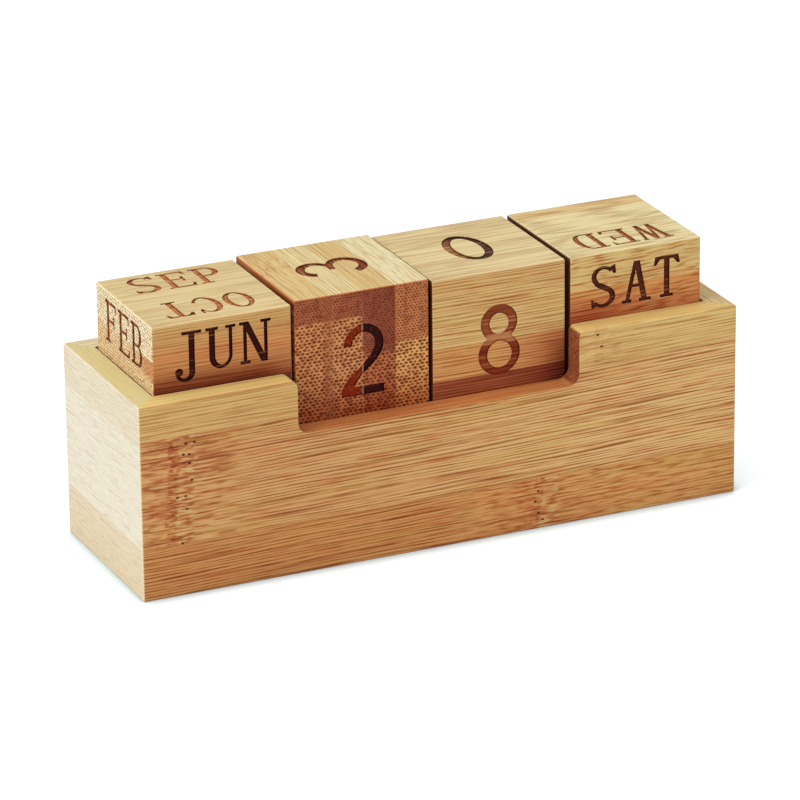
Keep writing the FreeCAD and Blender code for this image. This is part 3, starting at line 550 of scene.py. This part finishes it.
def dotted_ends(tree, axes, place, tone):
    """End grain of carbonised cane: the fibre bundles show as dark lens-shaped dots,
    about 1.2 mm apart, which close up towards the skin side of each strip."""
    skin_left, skin_middle, skin_right = 30.2, 20.0, 22.0  # how high up the skin begins
    x, z = axes["X"], axes["Z"]
    step_in = between(tree, x, second_joint - 0.2, second_joint + 0.2, skin_middle, skin_left)
    step_out = between(tree, x, third_joint - 0.1, third_joint + 0.1, skin_right - skin_middle)
    skin = add(tree, "ShaderNodeMath", {0: step_in, 1: step_out}, operation="ADD")
    above = add(tree, "ShaderNodeMath", {0: z, 1: skin}, operation="SUBTRACT")
    dense = between(tree, above, -0.5, 0.5)
    open_wood = face_tone(tree, axes, tens_size, ("X", [
        (0.0, first_joint, "#d6905a"), (first_joint, second_joint, "#d8955f"),
        (second_joint, third_joint, "#c17449"), (third_joint, tens_size.x, "#e8ac67")]))
    skin_wood = face_tone(tree, axes, tens_size, ("X", [
        (0.0, first_joint, "#aa6140"), (first_joint, second_joint, "#b26441", "#a1583c"),
        (second_joint, third_joint, "#9b543a", "#924c33"),
        (third_joint, tens_size.x, "#c47a4c")]))
    sparse = bundle_ends(tree, x, z, 1.24, 0.84, 0.48, 0.33)
    close = bundle_ends(tree, x, z, 0.86, 0.68, 0.28, 0.20)
    colour = stain(tree, both(tree, sparse, 0.85), open_wood, "#68240c", "MIX")
    tight = stain(tree, both(tree, close, 0.8), skin_wood, "#5c1c0c", "MIX")
    colour = stain(tree, dense, colour, tight, "MIX")
    grime = stretched(tree, place, endless, 2.2, Detail=3.0)
    colour = stain(tree, between(tree, grime, 0.45, 0.65, 0.4), colour, "#c89a80")
    # Darker towards the bottom, where it stands in the notch: painted shade.
    colour = stain(tree, between(tree, z, 18.0, 4.0, 0.9), colour, "#d09c8c")
    for seam, width, share, hue in ((8.9, 1.8, 0.45, "#9a5636"), (10.1, 0.16, 0.12, "#dcb894"),
                                    (second_joint, 0.12, 0.10, "#dcb894"),
                                    (third_joint + 0.1, 0.2, 0.4, "#8a5034")):
        off = add(tree, "ShaderNodeMath", {0: x, 1: seam}, operation="SUBTRACT")
        off = add(tree, "ShaderNodeMath", {0: off}, operation="ABSOLUTE")
        colour = stain(tree, between(tree, off, width, 0.3 * width, share), colour, hue, "MIX")
    return colour


block("tens_block", "burnt_bamboo_tens", "Y", "X",
      {"front": "#b87c4c",
       "top": ("X", [(0.0, first_joint, "#e3c88b"), (first_joint, second_joint, "#e7d59d"),
                     (second_joint, third_joint, "#e0c688"),
                     (third_joint, tens_size.x, "#ece2b2")]),
       "side": ("Z", [(0.0, tens_size.z, "#a06438")])},
      {"front": ("X", [(0.0, 17.85, "#8b2706"), (17.85, 18.1, "#c8a080"),
                       (18.1, tens_size.x, "#320402")]),
       "top": "#8c4428", "side": "#5a2a18"},
      # Its edges turn orange: partly wear, partly a painted highlight.
      cut_across=dotted_ends, edge_wear_and_highlight="#e88850",
      knuckles=[(22.0, 0.0, first_joint, 10.0, 12.0, 0.3, ()),
                (18.0, third_joint, tens_size.x, 60.0, 60.0, 0.0, ())])

# ------------------------------------------------------------------ units block
# The units of the date: a cube with its strips lying flat. Its digits are cut and
# burnt like the rest, and its end grain looks at the blocks beside it.


def dark_ends(tree, axes, place, tone):
    """End grain of carbonised cane on the faces that look at the next block."""
    return end_grain(tree, place, tone, "#6a3820", 1.1, 0.42)


block("units_block", "burnt_bamboo_units", "X", "Z",
      {"front": ("Z", [(0.0, 9.5, "#a05333"), (9.5, 18.0, "#dea464"),
                       (18.0, cube, "#e2bf7c", "#e2bf7c", "#deb272")]),
       "top": ("Y", [(0.0, cube, "#e6d39f")]),
       # The left side, seen down the gap to the tens, is dark brown: partly darker end grain,
       # partly painted shade for the gap.
       "side": ("X", [(0.0, 18.0, "#5c3420"), (18.0, cube, "#b88450")])},
      {"front": ("Z", [(0.0, 16.8, "#8d361a"), (16.8, 19.4, "#bc7448", "#c68458"),
                       (19.4, cube, "#9b4a28", "#8b3a1c")]),
       "top": ("X", [(0.0, 13.5, "#a87040"), (13.5, 17.0, "#a87040", "#542e20"),
                     (17.0, cube, "#542e20")]), "side": "#5a2a18"},
      cut_across=dark_ends, red=0.8,
      # Both corners given last are painted shade, at the lower right of the front by the notch
      # wall.
      shaded_corners=[(16.0, 32.0, 21.0, 14.0, "#e9cdca"), (27.0, cube, 22.0, 6.0, "#9c6858")])

# ---------------------------------------------------------------- weekday block
# The day of the week: a cube sawn like the month and the units, with its end grain to
# the sides. Its top strip is paler, and its grain slopes a little.

block("weekday_block", "burnt_bamboo_weekday", "X", "Z",
      {"front": ("Z", [(0.0, 18.0, "#b66c42", "#bc7142"),
                       (18.0, 27.0, "#bc7142", "#d5945b", "#e1a25e"), (27.0, cube, "#e3c47f")]),
       "top": ("Y", [(0.0, 29.5, "#ebdda8"), (29.5, cube, "#e2c78d")]),
       # The left side, seen down the gap to the units, is dark brown: partly darker end grain,
       # partly painted shade for the gap.
       "side": ("X", [(0.0, 18.0, "#5c3420"), (18.0, cube, "#c89660")])},
      {"front": "#5e2a18", "top": "#a8663e", "side": "#5a2a18"},
      # The corner given last is painted shade, at the lower left of the front.
      cut_across=dark_ends, red=0.9, lean=0.04, shaded_corners=[(26.0, 4.0, 26.0, 20.0, "#e0b4b0")],
      knuckles=[(18.0, 27.0, 35.7, 60.0, 60.0, 0.0, ()),
                (25.0, 0.0, 27.0, 20.0, 60.0, 0.0, ())])

# --------------------------------------------------------------- floor and lamps
# A white table under soft studio light: a broad lamp from the left, a lamp
# overhead and a weak one in front. The table stays white but keeps the shadow, and
# an AO node paints a cool contact shadow next to the case.

shadow_reach, near_glow, far_glow = 0.006, 0.20, 0.54
mesh = bpy.data.meshes.new("table_top")
mesh.from_pydata([(-4, -4, 0), (4, -4, 0), (4, 8, 0), (-4, 8, 0)], [], [(0, 1, 2, 3)])
floor = bpy.data.objects.new("table_top", mesh)
bpy.context.scene.collection.objects.link(floor)

# Matt white paper: plain and bright, with no sheen; its soft cool contact shadow is
# painted shade from an AO node.
paper = bpy.data.materials.new("matt_white_paper")
paper.use_nodes = True
tree = paper.node_tree
tree.nodes.clear()
seen = add(tree, "ShaderNodeLightPath", out="Is Camera Ray")
# Painted shadow: near the case the AO node dims the glow and cools the tint.
near = add(tree, "ShaderNodeAmbientOcclusion", {"Distance": shadow_reach}, "AO",
           samples=8)
clear = between(tree, near, 0.45, 0.95)
hue = stain(tree, clear, "#c4d0d4", "#e6e6e6", "MIX")
glow = both(tree, seen, add(tree, "ShaderNodeMath", {
    0: clear, 1: far_glow - near_glow, 2: near_glow}, operation="MULTIPLY_ADD"))
matt = add(tree, "ShaderNodeBsdfDiffuse", {"Color": hue})
lit = add(tree, "ShaderNodeEmission", {"Color": linear("#f0fdff"), "Strength": glow})
sheet = add(tree, "ShaderNodeAddShader", {0: matt, 1: lit})
add(tree, "ShaderNodeOutputMaterial", {"Surface": sheet})
mesh.materials.append(paper)

world = bpy.data.worlds.new("studio")
bpy.context.scene.world = world
world.use_nodes = True
tree = world.node_tree
tree.nodes.clear()
sky = add(tree, "ShaderNodeBackground", {"Color": (1.0, 1.0, 1.0, 1.0), "Strength": 0.5})
add(tree, "ShaderNodeOutputWorld", {"Surface": sky})

case_middle = 0.0, 0.0, 0.03
for name, spot, wide, watts in (
    ("left_lamp", (-1.1, -0.25, 0.55), 0.7, 7.0),
    ("top_lamp", (-0.2, 0.1, 1.3), 0.8, 5.5),
    ("front_lamp", (0.3, -1.3, 0.5), 0.8, 2.5),
):
    light = bpy.data.lights.new(name, "AREA")
    light.size = wide
    light.energy = watts
    lamp = bpy.data.objects.new(name, light)
    bpy.context.scene.collection.objects.link(lamp)
    lamp.location = spot
    aim = Vector(case_middle) - Vector(spot)
    lamp.rotation_euler = aim.to_track_quat("-Z", "Y").to_euler()

# ------------------------------------------------------------------------ camera
# A long lens that looks at the front from the left and from a little above. It
# stands 1.3 m away, so that the case hardly narrows towards the back.

azimuth, elevation, roll = (math.radians(v) for v in (-24.30, 21.38, -0.65))
distance, aside, above = 1.3179, -0.0011, 0.0278
focal_pixels, width_pixels, sensor = 5280.8, 800, 36.0
back = Vector((math.sin(azimuth) * math.cos(elevation),
               -math.cos(azimuth) * math.cos(elevation), math.sin(elevation)))
right = Vector((math.cos(azimuth), math.sin(azimuth), 0.0))
upward = back.cross(right)
level = math.cos(roll) * right + math.sin(roll) * upward
upright = math.cos(roll) * upward - math.sin(roll) * right
lens = bpy.data.cameras.new("camera")
lens.sensor_width = sensor
lens.lens = focal_pixels / width_pixels * sensor
camera = bpy.data.objects.new("camera", lens)
bpy.context.scene.collection.objects.link(camera)
spot = aside * level + above * upright + distance * back
camera.matrix_world = Matrix.Translation(spot) @ Matrix(
    (level, upright, back)).transposed().to_4x4()
bpy.context.scene.camera = camera
bpy.context.scene.view_settings.view_transform = "Standard"
